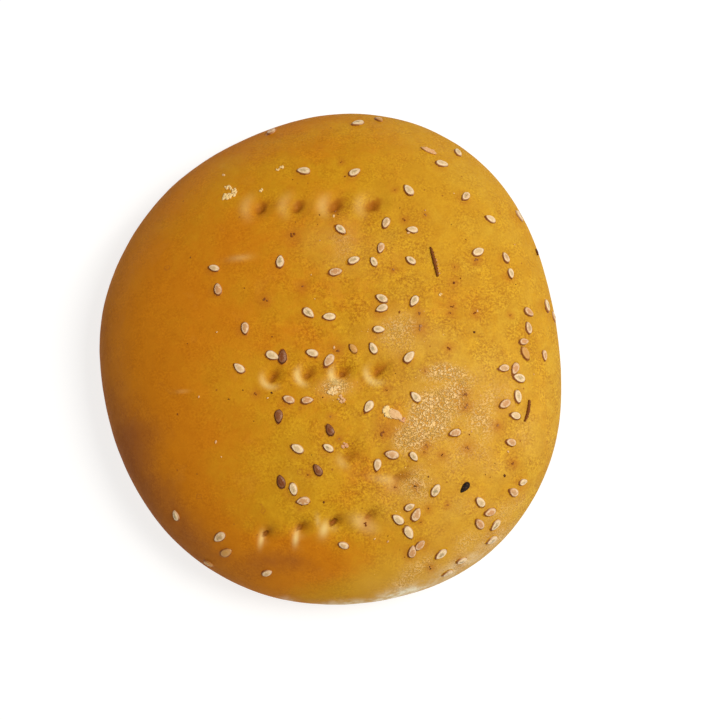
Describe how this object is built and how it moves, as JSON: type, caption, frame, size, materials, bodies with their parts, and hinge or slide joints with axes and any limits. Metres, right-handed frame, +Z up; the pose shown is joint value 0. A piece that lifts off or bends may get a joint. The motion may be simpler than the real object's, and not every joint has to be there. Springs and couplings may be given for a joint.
{
  "type": "bread roll",
  "caption": "Flat round yellow bread roll with a glazed crust, rows of fork pricks and scattered sesame seeds, whole and uncut.",
  "frame": {"origin": "on the surface that the roll rests on, under the middle of its bounding box", "axes": "+Z up through the crown; +Y along the longest way across, away from the side where the picture's camera stands; +X across, to the right in the picture"},
  "size_m": [0.1054, 0.114, 0.0334],
  "materials": {
    "crust": null,
    "sesame": "cream hulled sesame seeds, some toasted to tan, slightly glossy",
    "glaze": "reddish-brown egg glaze that pooled round each seed, satin",
    "spice": "dark brown to black bits of spice, stalk and one black seed, matte",
    "crumb": "pale crumbs and flakes baked onto the crust, matte"
  },
  "bodies": {
    "root": {"bread_roll": "crust"}
  },
  "joints": []
}
